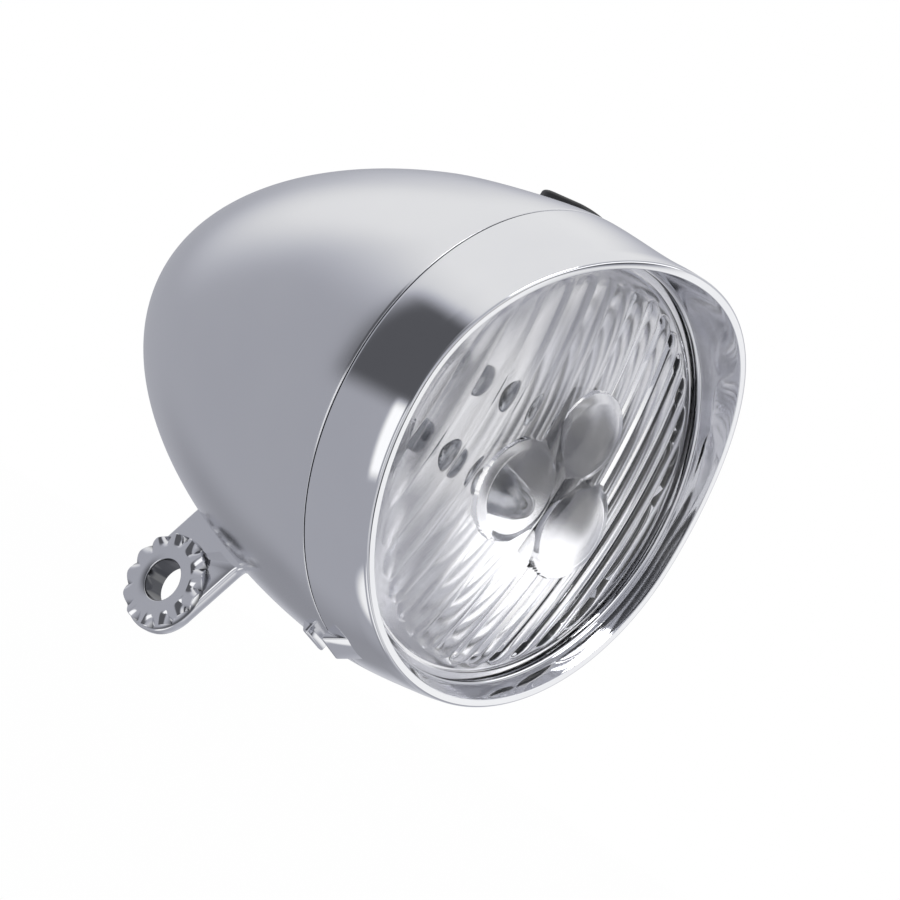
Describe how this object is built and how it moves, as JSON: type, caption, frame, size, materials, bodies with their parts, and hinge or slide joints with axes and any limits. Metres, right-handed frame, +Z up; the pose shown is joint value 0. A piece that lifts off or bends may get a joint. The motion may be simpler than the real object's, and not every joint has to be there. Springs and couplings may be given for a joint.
{
  "type": "bicycle headlight",
  "caption": "Bullet-shaped battery headlight for a bicycle, with a peaked bezel, a fluted round-windowed lens, a top push button and a toothed bolt lug.",
  "frame": {"origin": "centre of the lug's bolt hole, in the middle plane of the lamp", "axes": "+Z up as mounted, beam along -Y, +X along the bolt hole"},
  "size_m": [0.0724, 0.0876, 0.086],
  "materials": {
    "chrome_plate": "bright chrome plate over moulded plastic",
    "black_plastic": "satin",
    "button_rubber": "matt",
    "seal_rubber": "matt",
    "white_plastic": "satin",
    "clear_plastic": "clear, polished",
    "mirror_coat": "metallised, bright",
    "circuit_board": "solder mask",
    "lamp_epoxy": "clear epoxy",
    "screw_steel": "zinc plated",
    "contact_steel": "nickel plated",
    "resistor_body": "lacquered",
    "cell_jacket": "plain jacket, satin"
  },
  "bodies": {
    "housing": {"rear_shell": "chrome_plate", "button_guide": "black_plastic"},
    "front": {"bezel": "chrome_plate", "lens": "clear_plastic", "lens_seal": "seal_rubber", "reflector": "mirror_coat", "retaining_ring": "black_plastic", "led_board": "circuit_board", "led_top": "lamp_epoxy", "led_left": "lamp_epoxy", "led_right": "lamp_epoxy", "board_screws": "screw_steel", "driver_chip": "black_plastic", "resistor": "resistor_body", "battery_tray": "black_plastic", "switch_board": "circuit_board", "switch_body": "black_plastic", "cell_top": "cell_jacket", "cell_left": "cell_jacket", "cell_right": "cell_jacket", "front_contacts": "contact_steel", "rear_contacts": "contact_steel"},
    "button": {"button_cap": "button_rubber", "button_pin": "white_plastic"},
    "plunger": {"switch_plunger": "white_plastic"}
  },
  "joints": [
    {"name": "front_pull", "type": "slide", "parent": "housing", "child": "front", "axis": [0, -1, 0], "range_m": [0, 0.06]},
    {"name": "button_press", "type": "slide", "parent": "housing", "child": "button", "axis": [0, 0, -1], "range_m": [0, 0.0005], "stiffness_N_per_m": 3000},
    {"name": "plunger_press", "type": "slide", "parent": "front", "child": "plunger", "axis": [0, 0, -1], "range_m": [0, 0.0005]}
  ],
  "couplings": [
    {"joint": "plunger_press", "follows": "button_press", "ratio": 1}
  ]
}
